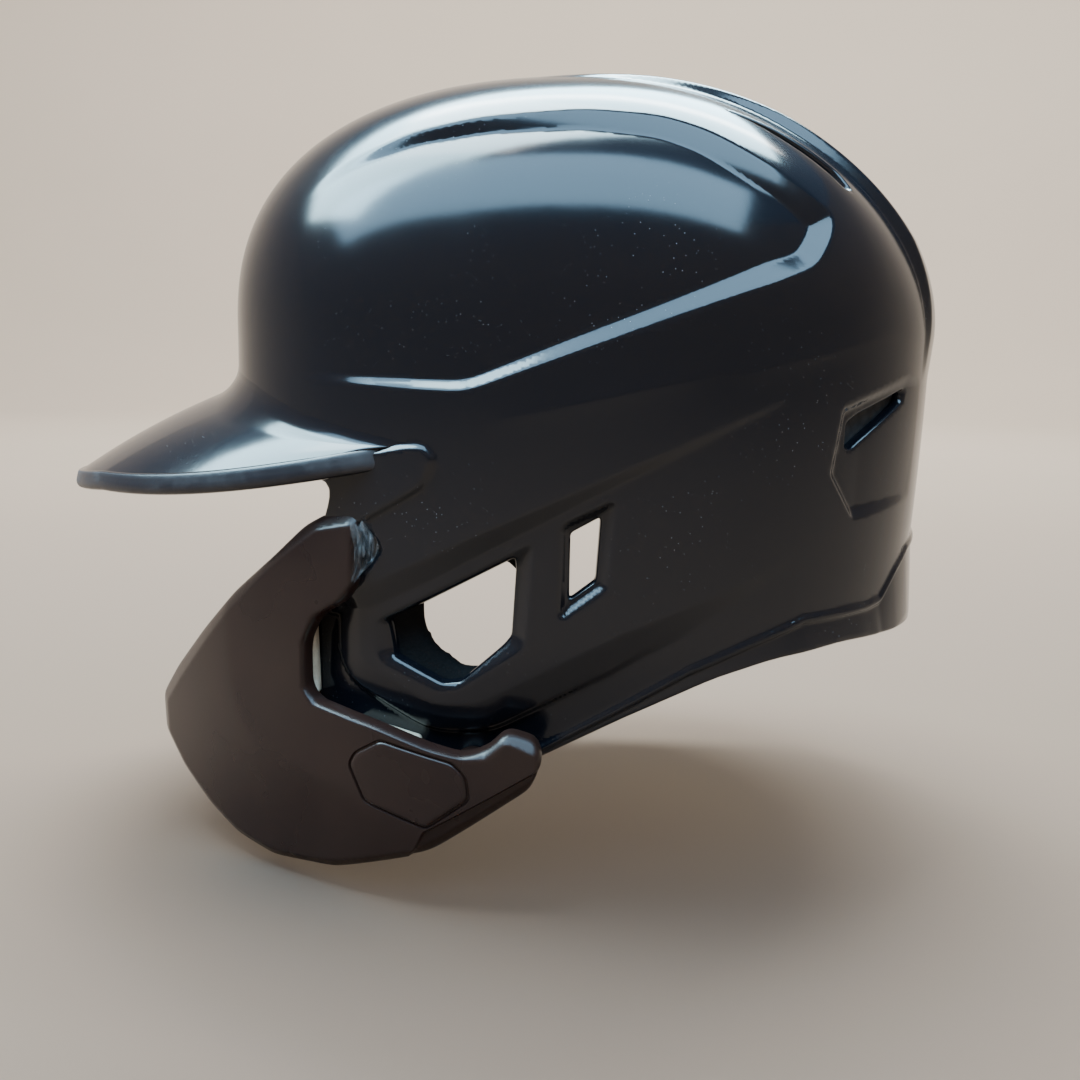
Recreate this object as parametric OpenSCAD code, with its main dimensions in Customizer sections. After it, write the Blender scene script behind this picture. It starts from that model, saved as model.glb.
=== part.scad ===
// Batting helmet with one ear flap (wearer's left) and a bolt-on face guard.
// Frame: +X is the wearer's left, -Y is forward, +Z is up.
// Origin: centre of the head opening at the level of the brow line.

/* [Shell] */
// Half of the shell's width at its widest level
half_width = 104; // [98:1:110]
// Half of the shell's length at its widest level
half_length = 121; // [115:1:127]
// Height of the crown above the brow line
crown_height = 104; // [98:1:110]
// Height of the shell's widest level above the brow line
widest_level = 20; // [15:1:25]
// Thickness of the moulded wall
wall = 4; // [3.5:0.5:5]
// Depth of the long panel pressed into each side of the crown
panel_depth = 2; // [1:0.5:2.5]
// Height of the raised band over the crown, where it is tallest
band_height = 4; // [2:0.5:5]
// How far the lower edge turns out at the nape
rim_flare = 3; // [0:0.5:4]

/* [Brim] */
// Half of the brim's width at the temples
brim_half_width = 97; // [92:1:100]
// How far the brim's tip is in front of the brim's rear corners
brim_reach = 137; // [130:1:145]
// Thickness of the brim
brim_thickness = 4; // [3:0.5:5]

/* [Ear flap] */
// Depth of the step down from the shell to the field round the ear
ear_step = 1.5; // [1:0.5:2]
// Depth of the step down from that field to the flap's skirt
skirt_step = 1.5; // [1:0.5:2]
// Extra thickness of the wall behind the flap
flap_backing = 3; // [2:0.5:4]

/* [Face guard] */
// Distance of the guard's outer face from the middle plane, beside the ear
guard_side = 104; // [103:1:106]
// Thickness of the guard
guard_thickness = 4.5; // [3:0.5:6]
// Height of the blank plate on the guard
badge_thickness = 1.2; // [0.8:0.2:2]

/* [Padding] */
// Gap between the wall and the foam, and between foam pieces
foam_gap = 0.4; // [0.3:0.1:1]
// Thickness of the stiff foam liner
liner_thickness = 10; // [8:1:12]
// Thickness of the soft comfort pads
pad_thickness = 8; // [6:1:10]

/* [Hidden] */

// Shape of the shell
crown_rise = crown_height - widest_level;
plan_power = 2.3;
front_power = 2.4;
side_power = 2.55;
back_power = 1.8;
front_taper = -0.09;
side_taper = 0.06;
back_taper = 0.03;
flare_top = -46;
flare_drop = 34;
columns = 60;
dome_rows = 12;
wall_rows = 8;
skirt_bottom = -125;
far = 150;
overlap = 0.5;

function blend(a, b, t) = a + (b - a) * t;
function clamp(t) = min(1, max(0, t));
function by_side(phi, front, side, back) =
    let (s = sin(phi)) blend(side, s < 0 ? front : back, s * s);

function plan_radius(phi, grow) =
    1 / pow(pow(abs(cos(phi)) / (half_width + grow), plan_power)
          + pow(abs(sin(phi)) / (half_length + grow), plan_power), 1 / plan_power);

// A point of the shell's surface, moved out by grow. The heading phi runs from the left side
// to the back. The level is 90 at the crown and 0 at the widest level, and below that it is
// the drop under the widest level in millimetres, with a minus sign.
function shell_point(phi, level, grow) =
    let (r = plan_radius(phi, grow),
         dome = 2 / by_side(phi, front_power, side_power, back_power),
         taper = by_side(phi, front_taper, side_taper, back_taper),
         z = widest_level + level,
         turn = max(0, sin(phi)) * pow(clamp((flare_top - z) / flare_drop), 2))
    level >= 0
        ? [for (a = [r * pow(cos(level), dome)]) each [a * cos(phi), a * sin(phi)],
           widest_level + (crown_rise + grow) * pow(sin(level), dome)]
        : [for (a = [r * (1 - taper * pow(level / 100, 2)) + rim_flare * turn])
               each [a * cos(phi), a * sin(phi)], z];

levels = concat([for (i = [1 : dome_rows]) 90 - 90 * i / dome_rows],
                [for (i = [1 : wall_rows]) (skirt_bottom - widest_level) * i / wall_rows]);

// Each relief fades out along the shell: its depth or height at one point of the surface
band_start = -10;
band_run = 70;
panel_start = -82;
panel_run = 45;
ear_end = 58;
ear_run = 75;
band_relief = function(p) band_height * clamp((p.y - band_start) / band_run);
panel_relief = function(p) -panel_depth * clamp((p.y - panel_start) / panel_run);
ear_relief = function(p) -ear_step * clamp((ear_end - p.y) / ear_run);
skirt_relief = function(p) ear_relief(p) - skirt_step * clamp((ear_end + 4 - p.y) / ear_run);
no_relief = function(p) 0;

// The two triangles of each cell in a grid of points, clockwise from outside or from inside
function cell(a, b, c, d, outside) = outside ? [[a, b, c], [a, c, d]] : [[a, c, b], [a, d, c]];

// A layer of the shell between two distances from its surface, from the crown down to the
// last of the levels, where it is closed
module shell_layer(inner, outer, rise = no_relief, sink = no_relief, rows = levels) {
    ring = len(rows) * columns;
    moved = function(p, h) p + h * [p.x, p.y, max(0, p.z)] / norm([p.x, p.y, max(0, p.z)]);
    side = function(grow, relief)
        [for (level = rows) for (i = [0 : columns - 1])
            let (p = shell_point(360 * i / columns, level, grow)) moved(p, relief(p))];
    top = [0, 0, crown_height];
    tops = [top + [0, 0, outer + rise(top)], top + [0, 0, inner + sink(top)]];
    next = function(i) (i + 1) % columns;
    skin = function(base, outside)
        [for (r = [0 : len(rows) - 2]) for (i = [0 : columns - 1])
            let (a = base + r * columns)
            each cell(a + i, a + next(i), a + columns + next(i), a + columns + i, outside)];
    fans = [for (i = [0 : columns - 1])
        each [[i, 2 * ring, next(i)], [ring + i, ring + next(i), 2 * ring + 1]]];
    low = ring - columns;
    edge = [for (i = [0 : columns - 1])
        each cell(low + i, low + next(i), ring + low + next(i), ring + low + i, true)];
    polyhedron(concat(side(outer, rise), side(inner, sink), tops),
               concat(skin(0, true), skin(ring, false), fans, edge), convexity = 10);
}

// A closed block from a grid of outer points and the same grid of inner points
module closed_grid(outer, inner, across, down) {
    wide = across + 1;
    layer = wide * (down + 1);
    face = function(base, outside)
        [for (r = [0 : down - 1]) for (i = [0 : across - 1])
            let (a = base + r * wide + i)
            each cell(a, a + 1, a + 1 + wide, a + wide, outside)];
    rim = concat([for (i = [0 : across]) i],
                 [for (r = [1 : down]) r * wide + across],
                 [for (i = [1 : across]) down * wide + across - i],
                 [for (r = [1 : down - 1]) (down - r) * wide]);
    edge = [for (k = [0 : len(rim) - 1])
        let (a = rim[k], b = rim[(k + 1) % len(rim)])
        each cell(b, a, a + layer, b + layer, true)];
    polyhedron(concat(outer, inner), concat(face(0, true), face(layer, false), edge), convexity = 6);
}

// A curved block of the shell's form: headings from and to, levels high and low
module shell_patch(from, to, high, low, inner, outer, across = 8, down = 6) {
    sheet = function(grow)
        [for (r = [0 : down]) for (i = [0 : across])
            shell_point(blend(from, to, i / across), blend(high, low, r / down), grow)];
    closed_grid(sheet(outer), sheet(inner), across, down);
}

// Keeps the result of several cuts as a single closed mesh
module one_mesh() {
    resize([0, 0, 0]) children();
}

// A side-view outline, given as [y, z], pushed through one side of the shell
module side_cut(outline, from = 20) {
    rotate([90, 0, 90]) translate([0, 0, from]) linear_extrude(far - from) polygon(outline);
}

module both_sides() {
    children();
    mirror([1, 0, 0]) children();
}

// Side-view outlines, each a list of [y, z]

// Everything below and in front of the shell's lower edge on the flap's side
left_under = [[-far, -14], [-110, -18], [-82, -23], [-72, -25], [-75, -38], [-86, -50], [-92, -62],
              [-92, -88], [-84, -104], [-60, -118], [-30, -119], [-10, -109], [17, -94], [42, -81],
              [60, -75], [82, -72], [106, -73], [132, -78], [far, -80], [far, -far], [-far, -far]];
// The same on the other side, where the edge passes over the ear
right_under = [[-far, -14], [-110, -18], [-92, -24], [-84, -36], [-66, -42], [-30, -41], [4, -46],
               [34, -58], [60, -70], [82, -75], [106, -76], [132, -78], [far, -80],
               [far, -far], [-far, -far]];
crown_panel = [[-74, 6], [-32, 3], [66, 39], [72, 52], [62, 62], [48, 70], [35, 77], [22, 82], [0, 83],
               [-30, 80], [-50, 76], [-70, 68], [-84, 58]];
ear_field = [[-66, -57], [-33, -40], [7, -21], [62, 5], [66, -40], [66, -far], [-far, -far],
             [-far, -57]];
flap_skirt = [[-76, -66], [-76, -79], [-71, -84], [-43, -97], [-33, -98], [-14, -92], [8, -81], [39, -63],
              [66, -42], [66, -far], [-far, -far], [-far, -66]];
ear_opening = [[-58, -66], [-16, -44], [-17, -70], [-36, -84], [-44, -82], [-57, -75]];
flap_vent = [[-3, -35], [8, -30], [8, -52], [-3, -59]];
rear_vent = [[79, -12], [79, -4], [82, -1], [100, 7], [100, 2]];
temple_end = [[-112, -24], [-60, -14.6], [-50, -12.4], [-43, -12], [-40, -16], [-44, -25], [-63, -37],
              [-far, -37], [-far, -24]];
// Seen from above
crown_slot = [[66, 42], [62, 60], [61, 78], [66, 80], [68, 72]];
crown_slot_low = 30;
band_half_width = 48;
band_low_end = 12;
temple_rise = 1;
screw_places = [[-73, -49], [-30, -112], [-60, -108]];
screw_hole = 5;
// Flat seats for the washers inside the flap
seat_diameter = 13;
seat_height = 3;
washer_diameter = 10;
washer_thickness = 1;
screw_diameter = 4;
head_diameter = 8;
head_height = 2.4;
socket_width = 3.4;
insert_diameter = 7;
insert_length = 4;
fastener_gap = 0.1;
// Gap between the flap and what rests on it
joint_gap = 0.3;
// A layer down to here fills most of the shell
core = -60;
// Round opening in the ear pad
ear_centre = [-34, -62];
ear_radius = 19;

// Distance of a washer's seat from the middle plane: the flap's inner face at that place,
// found along its level, and the height of the seat
function seat_x(place) =
    let (found = [for (phi = [-80 : 0.5 : 0])
                     let (p = shell_point(phi, place.y - widest_level, -wall - flap_backing))
                     if (p.y > place.x) p.x])
    found[0] - seat_height;

module brim() {
    across = 32;
    rear_corner = -45;
    corner_height = -12;
    edge_slope = 0.135;
    root_front = 2;
    root_side = -12;
    brim_crest = 2;
    steps = [0, 0.15, 0.3, 0.5, 0.75, 1];
    edge_power = 2.1;
    edge_point = function(a)
        let (y = rear_corner - brim_reach * pow(cos(a), 2 / edge_power),
             x = brim_half_width * pow(abs(sin(a)), 2 / edge_power) * sign(a))
        [x, y, corner_height + edge_slope * (y - rear_corner)];
    root_point = function(a)
        let (edge = edge_point(a), phi = atan2(edge.y * 0.8, edge.x),
             p = shell_point(phi, -widest_level, -wall / 2), t = pow(cos(a), 2))
        [p.x, p.y, blend(root_side, root_front, t)];
    brim_point = function(a, t)
        let (root = root_point(a), edge = edge_point(a), crest = brim_crest * cos(a) * sin(180 * t))
        blend(root, edge, t) + [0, 0, crest];
    angles = [for (i = [0 : across]) blend(-84, 84, i / across)];
    top = [for (t = steps) for (a = angles) brim_point(a, t)];
    bottom = [for (p = top) p - [0, 0, brim_thickness]];
    closed_grid(top, bottom, across, len(steps) - 1);
}

module crown_band() {
    intersection() {
        shell_layer(-overlap, 0.1, band_relief);
        translate([-band_half_width, band_start, band_low_end])
            cube([2 * band_half_width, far, far]);
    }
}

module below_edge() {
    side_cut(left_under, -0.01);
    mirror([1, 0, 0]) side_cut(right_under, 0);
}

// Turns a piece from the Z axis to one fastener's axis, starting at the distance x
module along_x(x, place) {
    translate([x, place.x, place.y]) rotate([0, 90, 0]) children();
}

module at_screw_axes() {
    for (place = screw_places)
        along_x(0, place) children();
}

module outer_shell() {
    color("#15161c") one_mesh() {
        brim();
        difference() {
            union() {
                shell_layer(-wall, 0);
                crown_band();
                both_sides() intersection() {
                    shell_layer(-overlap, temple_rise);
                    side_cut(temple_end);
                }
                intersection() {
                    shell_layer(-wall - flap_backing, -wall + overlap);
                    side_cut(ear_field);
                }
                intersection() {
                    shell_layer(core, -wall + overlap);
                    for (place = screw_places)
                        along_x(seat_x(place), place) cylinder(d = seat_diameter, h = far, $fn = 32);
                }
            }
            below_edge();
            both_sides() {
                intersection() {
                    shell_layer(0, 10, sink = panel_relief);
                    side_cut(crown_panel);
                }
                side_cut(rear_vent, 50);
                translate([0, 0, crown_slot_low]) linear_extrude(far) polygon(crown_slot);
            }
            intersection() {
                shell_layer(0, 10, sink = ear_relief);
                side_cut(ear_field);
            }
            intersection() {
                shell_layer(0, 10, sink = skirt_relief);
                side_cut(flap_skirt);
            }
            side_cut(ear_opening);
            side_cut(flap_vent);
            at_screw_axes() cylinder(d = screw_hole, h = far, $fn = 24);
        }
    }
}

// Side view of the guard
guard_outline = [[-62.5, -31.5], [-74, -34], [-82, -38.5], [-92, -48], [-108, -62], [-122.5, -77.5],
                 [-137, -94.5], [-146, -107], [-146, -121], [-137, -131.5], [-124, -141.5], [-111.5, -148],
                 [-97, -151], [-74.5, -148.5], [-41.5, -136.5], [-12, -115], [-8, -104], [-10, -99],
                 [-19, -96], [-25, -102], [-32, -104], [-42, -102], [-58, -97], [-79, -92], [-82, -88],
                 [-82, -74], [-78, -66], [-69, -60], [-65, -55], [-64.5, -38]];
// The guard is flat beside the ear and bends in towards the jaw, in front of guard_bend_start
guard_bend = 0.0035;
guard_bend_start = -20;
// What is left of the guard over the end of an insert
guard_skin = 2.2;
boss_diameter = 12;
boss_reach = 20;
guard_low = -160;
guard_high = -20;
function guard_x(y) = guard_side - guard_bend * pow(max(0, guard_bend_start - y), 2);

// A sheet that follows the guard's outer face
module guard_sheet(inner, outer) {
    steps = 16;
    ys = [for (i = [0 : steps]) blend(-far, 0, i / steps)];
    translate([0, 0, guard_low]) linear_extrude(guard_high - guard_low) polygon(concat(
        [for (y = ys) [guard_x(y) + outer, y]],
        [for (i = [0 : steps]) let (y = ys[steps - i]) [guard_x(y) + inner, y]]));
}

module face_guard() {
    color("#241c24") one_mesh() difference() {
        union() {
            intersection() {
                guard_sheet(-guard_thickness, 0);
                side_cut(guard_outline);
            }
            difference() {
                intersection() {
                    at_screw_axes() cylinder(d = boss_diameter, h = far, $fn = 24);
                    guard_sheet(-guard_thickness - boss_reach, -guard_skin);
                }
                shell_layer(core, joint_gap);
            }
        }
        for (place = screw_places)
            along_x(0, place)
                cylinder(d = insert_diameter + 2 * fastener_gap, h = guard_x(place.x) - guard_skin, $fn = 48);
    }
}

badge_outline = [[-57, -101], [-65, -106], [-67, -110], [-62, -121], [-43, -127], [-30, -117],
                 [-31, -110], [-35, -106]];

module guard_badge() {
    color("#201a22") one_mesh() intersection() {
        guard_sheet(fastener_gap, fastener_gap + badge_thickness);
        side_cut(badge_outline);
    }
}

// The fasteners are stacked along X from the seat inside the flap out into the guard
module guard_screws() {
    color("silver") for (place = screw_places) {
        seat = seat_x(place) - washer_thickness - 2 * fastener_gap;
        along_x(seat - head_height, place) difference() {
            cylinder(d = head_diameter, h = head_height, $fn = 48);
            translate([0, 0, -1]) cylinder(d = socket_width, h = 1 + head_height / 2, $fn = 6);
        }
        along_x(seat - overlap, place)
            cylinder(d = screw_diameter, h = guard_x(place.x) - guard_skin - seat, $fn = 32);
    }
}

module guard_washers() {
    color("gray") for (place = screw_places)
        along_x(seat_x(place) - washer_thickness - fastener_gap, place) difference() {
            cylinder(d = washer_diameter, h = washer_thickness, $fn = 48);
            translate([0, 0, -1]) cylinder(d = screw_diameter + 0.4, h = washer_thickness + 2, $fn = 32);
        }
}

module guard_inserts() {
    color("goldenrod") for (place = screw_places)
        along_x(guard_x(place.x) - guard_skin - fastener_gap - insert_length, place) difference() {
            cylinder(d = insert_diameter, h = insert_length, $fn = 48);
            translate([0, 0, -1]) cylinder(d = screw_diameter + 0.2, h = insert_length + 2, $fn = 32);
        }
}

// Strips of foam tape that fill the gap between the guard and the flap
module guard_foam(outline) {
    color("#c9b79a") one_mesh() difference() {
        intersection() {
            guard_sheet(-guard_thickness - boss_reach, -guard_thickness - joint_gap);
            side_cut(outline);
        }
        shell_layer(core, joint_gap, rise = skirt_relief);
    }
}

module guard_foam_front() {
    guard_foam([[-80, -66], [-84, -66], [-84, -92], [-79, -92]]);
}

module guard_foam_lower() {
    guard_foam([[-66, -98], [-46, -103], [-46, -107], [-66, -103]]);
}

tape_size = [2, 5, 16];
tape_place = [92, -62, -46];
tape_turn = [20, 0, 12];

module guard_tape() {
    color("#b9b8b4") translate(tape_place) rotate(tape_turn) cube(tape_size, center = true);
}

module foam_block(from, to, high, low, deep, across = 8, down = 6) {
    start = -wall - foam_gap;
    color("#2a2a2c") shell_patch(from, to, high, low, start - deep, start, across, down);
}

module liner_front() { foam_block(-128, -52, 44, -18, liner_thickness); }
module liner_crown() {
    start = -wall - foam_gap;
    color("#2a2a2c") shell_layer(start - liner_thickness, start, rows = [for (level = [84 : -8 : 56]) level]);
}
module liner_left() { foam_block(-46, 38, 50, -38, liner_thickness, 10, 8); }
module liner_right() { foam_block(142, 226, 50, -38, liner_thickness, 10, 8); }
module liner_back() { foam_block(44, 136, 50, -70, liner_thickness, 10, 8); }

module comfort_pad(from, to, high, low, across = 10, down = 5) {
    start = -wall - liner_thickness - 2 * foam_gap;
    color("#1b1b1d") shell_patch(from, to, high, low, start - pad_thickness, start, across, down);
}

module brow_pad() { comfort_pad(-124, -56, 16, -18); }
module crown_pad() {
    start = -wall - liner_thickness - 2 * foam_gap;
    color("#1b1b1d") shell_layer(start - pad_thickness, start, rows = [for (level = [84 : -6 : 66]) level]);
}
module temple_pad_left() { comfort_pad(-50, -30, 20, -30, 4, 5); }
module temple_pad_right() { comfort_pad(210, 230, 20, -30, 4, 5); }
module side_pad_left() { comfort_pad(-24, 30, 24, -20); }
module side_pad_right() { comfort_pad(150, 204, 24, -20); }
module nape_pad() { comfort_pad(52, 128, -20, -70); }

module ear_pad() {
    start = -wall - flap_backing - foam_gap;
    color("#1b1b1d") one_mesh() difference() {
        shell_patch(-48, -4, -56, -134, start - pad_thickness, start, 10, 10);
        side_cut(left_under, -0.01);
        translate([0, ear_centre.x, ear_centre.y]) rotate([0, 90, 0])
            cylinder(r = ear_radius, h = far, $fn = 48);
        at_screw_axes() cylinder(d = seat_diameter + 2, h = far, $fn = 24);
    }
}

outer_shell();
face_guard();
guard_badge();
guard_foam_front();
guard_foam_lower();
guard_tape();
guard_screws();
guard_washers();
guard_inserts();
liner_front();
liner_crown();
liner_left();
liner_right();
liner_back();
brow_pad();
crown_pad();
temple_pad_left();
temple_pad_right();
side_pad_left();
side_pad_right();
nape_pad();
ear_pad();
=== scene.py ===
import math

import bpy
import numpy as np
from mathutils import Matrix, Vector


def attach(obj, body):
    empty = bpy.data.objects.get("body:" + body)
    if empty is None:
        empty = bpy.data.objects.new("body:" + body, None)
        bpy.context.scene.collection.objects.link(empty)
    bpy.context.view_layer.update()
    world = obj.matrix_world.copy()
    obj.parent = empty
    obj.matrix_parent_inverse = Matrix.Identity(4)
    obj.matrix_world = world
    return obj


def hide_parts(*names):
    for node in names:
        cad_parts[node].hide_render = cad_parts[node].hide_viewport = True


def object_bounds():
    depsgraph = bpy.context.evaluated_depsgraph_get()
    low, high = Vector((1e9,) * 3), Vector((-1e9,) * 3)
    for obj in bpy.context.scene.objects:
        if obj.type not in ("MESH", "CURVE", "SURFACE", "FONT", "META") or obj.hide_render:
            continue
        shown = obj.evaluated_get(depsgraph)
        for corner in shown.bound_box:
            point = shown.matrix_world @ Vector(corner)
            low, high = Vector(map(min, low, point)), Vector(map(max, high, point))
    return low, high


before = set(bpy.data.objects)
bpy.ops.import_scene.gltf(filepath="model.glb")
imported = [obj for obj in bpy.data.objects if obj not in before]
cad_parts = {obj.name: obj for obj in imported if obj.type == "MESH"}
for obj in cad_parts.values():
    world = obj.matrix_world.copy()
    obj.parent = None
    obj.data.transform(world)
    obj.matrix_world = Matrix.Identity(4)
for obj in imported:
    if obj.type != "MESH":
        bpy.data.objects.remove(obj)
cad_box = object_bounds()

# Lengths below are millimetres in the part's frame until a mesh is made: +X is the wearer's
# left, -Y is forward, +Z is up, and the origin is on the brow line. Lights, camera and stage
# are in metres. FAR is past any edge of the helmet, and OUTSIDE is a distance outside an outline.
MM = 0.001

# ---------------------------------------------------------------- shape of the shell
HALF_WIDTH = 104
HALF_LENGTH = 121
CROWN = 104
WIDEST = 20
PLAN_POWER = 2.3
FRONT_POWER, SIDE_POWER, BACK_POWER = 2.4, 2.55, 1.8
FRONT_TAPER, SIDE_TAPER, BACK_TAPER = -0.09, 0.06, 0.03
SHELL_WALL = 3.4
LOWEST = -125
FAR = 150
OUTSIDE = -40.0


def clamp(t):
    return np.clip(t, 0.0, 1.0)


def by_side(phi, front, side, back):
    """Blends from the side's value to the front's or the back's by heading."""
    s = np.sin(phi)
    return side + (np.where(s < 0, front, back) - side) * s * s


def plan_radius(phi, grow=0.0):
    """Distance from the middle to the shell's widest outline at one heading."""
    across = (np.abs(np.cos(phi)) / (HALF_WIDTH + grow)) ** PLAN_POWER
    along = (np.abs(np.sin(phi)) / (HALF_LENGTH + grow)) ** PLAN_POWER
    return (across + along) ** (-1 / PLAN_POWER)


def shell_point(phi, level, grow=0.0):
    """A point of the shell. phi runs from the left side to the back. The level is an angle up
    to 90 at the crown above the widest level, and below it the drop in millimetres."""
    phi, level = np.broadcast_arrays(np.asarray(phi, float), np.asarray(level, float))
    radius = plan_radius(phi, grow)
    power = 2 / by_side(phi, FRONT_POWER, SIDE_POWER, BACK_POWER)
    angle = np.radians(np.clip(level, 0, 90))
    drop = np.minimum(level, 0)
    taper = by_side(phi, FRONT_TAPER, SIDE_TAPER, BACK_TAPER)
    radius = radius * np.maximum(np.cos(angle), 0) ** power * (1 - taper * (drop / 100) ** 2)
    z = WIDEST + drop + (CROWN - WIDEST + grow) * np.sin(angle) ** power
    return np.stack([radius * np.cos(phi), radius * np.sin(phi), z], -1)


def shell_outward(phi, level):
    """Unit direction out of the shell at a point."""
    step = shell_point(phi, level, 1.0) - shell_point(phi, level, -1.0)
    return step / np.linalg.norm(step, axis=-1, keepdims=True)


# ---------------------------------------------------------------- outlines
# An outline is seen from the side, as y and z, but the crown slot's is seen from above, as x and
# y. The lip's edge is a line of places from front to back.
def rounded(outline, radius, count=4):
    """The outline with each corner replaced by a short curve."""
    points = [np.array(p, float) for p in outline]
    out = []
    for before, corner, after in zip(points[-1:] + points[:-1], points, points[1:] + points[:1]):
        to_before, to_after = before - corner, after - corner
        reach = min(radius, 0.45 * np.linalg.norm(to_before), 0.45 * np.linalg.norm(to_after))
        start = corner + to_before / np.linalg.norm(to_before) * reach
        end = corner + to_after / np.linalg.norm(to_after) * reach
        for t in np.linspace(0, 1, count):
            out.append((1 - t) ** 2 * start + 2 * t * (1 - t) * corner + t * t * end)
    return np.array(out)


def inside(outline, a, b):
    """Distance to an outline, positive inside it."""
    best = np.full(a.shape, 1e9)
    within = np.zeros(a.shape, bool)
    for (a0, b0), (a1, b1) in zip(outline, np.roll(outline, -1, axis=0)):
        da, db = a1 - a0, b1 - b0
        t = clamp(((a - a0) * da + (b - b0) * db) / (da * da + db * db))
        best = np.minimum(best, (a - a0 - t * da) ** 2 + (b - b0 - t * db) ** 2)
        if db != 0:
            crossing = (b0 > b) != (b1 > b)
            within ^= crossing & (a < a0 + (b - b0) * da / db)
    return np.where(within, 1, -1) * np.sqrt(best)


LEFT_EDGE = rounded([(-FAR, -14), (-110, -18), (-82, -23), (-72, -25), (-75, -38), (-86, -50),
                     (-92, -62), (-92, -88), (-84, -104), (-60, -118), (-30, -119), (-10, -109),
                     (17, -94), (42, -81), (60, -75), (82, -72), (106, -73), (132, -78),
                     (FAR, -80), (FAR, -FAR), (-FAR, -FAR)], 6)
RIGHT_EDGE = rounded([(-FAR, -14), (-110, -18), (-92, -24), (-84, -36), (-66, -42), (-30, -41),
                      (4, -46), (34, -58), (60, -70), (82, -75), (106, -76), (132, -78),
                      (FAR, -80), (FAR, -FAR), (-FAR, -FAR)], 12)
CROWN_PANEL = rounded([(-88, 5), (-32, 3), (66, 39), (71, 48), (72, 54), (62, 62), (48, 70), (35, 77),
                       (22, 81), (0, 82.5), (-30, 80), (-50, 76), (-70, 68), (-92, 54)], 5)
EAR_FIELD = rounded([(-66, -57), (-33, -40), (7, -21), (62, 4), (70, -40), (70, -FAR), (-FAR, -FAR),
                     (-FAR, -57)], 2)
PLATEAU = rounded([(-FAR, -57), (-66, -57), (-66, -79), (-43, -91), (-29, -90.5), (-15, -83), (16, -66),
                   (39, -56), (70, -41), (FAR, -41), (FAR, FAR), (-FAR, FAR)], 4)
EAR_BEVEL = rounded([(-61, -66), (-13, -40), (-12, -42), (-14, -70), (-16, -73), (-35, -86),
                     (-41, -87), (-59, -79), (-61, -76)], 1.5)
EAR_HOLE = rounded([(-58.5, -66), (-18, -44.5), (-19.5, -69), (-22, -72), (-35, -83.5), (-41, -84.5),
                    (-57, -77)], 1.2)
VENT_BEVEL = rounded([(-5, -36), (-3, -33.5), (10, -27), (12, -28), (10, -53), (-3, -63), (-5, -61.5)], 1)
VENT_HOLE = rounded([(-1.5, -37), (7.5, -32), (6.5, -51), (-1.5, -57)], 1)
REAR_RECESS = rounded([(77, 0), (101, 9), (112, 8), (108, -30), (83, -34), (74, -20)], 1.5)
REAR_HOLE = rounded([(81, -12.5), (81, -5), (84.5, -2.5), (101, 5), (100.5, 1), (83, -12.5)], 1)
TEMPLE = rounded([(-FAR, -36), (-112, -24), (-60, -14.6), (-50, -12.4), (-43.5, -12), (-39.5, -16),
                  (-43.5, -25), (-63, -37), (-FAR, -60)], 2)
POCKET = rounded([(-67, -35), (-60.5, -38), (-56.5, -43.5), (-61.5, -50), (-68, -54), (-80, -50),
                  (-80, -36)], 2)
CROWN_SLOT = rounded([(66.5, 42), (64, 58), (62.5, 76), (65, 80), (67.5, 77), (68, 60)], 1)
CROWN_SLOT_LOWEST = 30
BAND_EDGE = 50
BAND_WALL = 3.2
LIP_Y = [-30, -9, 16, 35, 52, 69, 92, 97, 103, 109, 122]
LIP_Z = [-114, -104, -89, -77, -69, -62, -61, -60, -52, -46, -42]


# ---------------------------------------------------------------- reliefs of the shell
# Each relief is a distance in from its outline, the width of its sloping wall, and a height,
# minus for a recess.
def across(p, outline):
    return inside(outline, p[:, 1], p[:, 2])


def left_only(p, value, elsewhere=OUTSIDE):
    """The value on the left half, and another on the right."""
    return np.where(p[:, 0] > 0, value, elsewhere)


def panel_height(p):
    fade = clamp((p[:, 1] + 86) / 52)
    return -2.8 * fade * fade * (3 - 2 * fade)


def band_height(p):
    return 3.4 * clamp((p[:, 1] + 15) / 75) * clamp((p[:, 2] - 8) / 42) * (p[:, 1] > -15)


def lip_distance(p):
    """How far below the lip's edge a place is. The edge is lower on the right side."""
    level = np.interp(p[:, 1], LIP_Y, LIP_Z)
    return level - 4 * clamp(-p[:, 0] / 50) - p[:, 2]


def plateau_slope(p):
    return 3.5 + 5.5 * clamp((62 - p[:, 1]) / 50)


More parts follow.
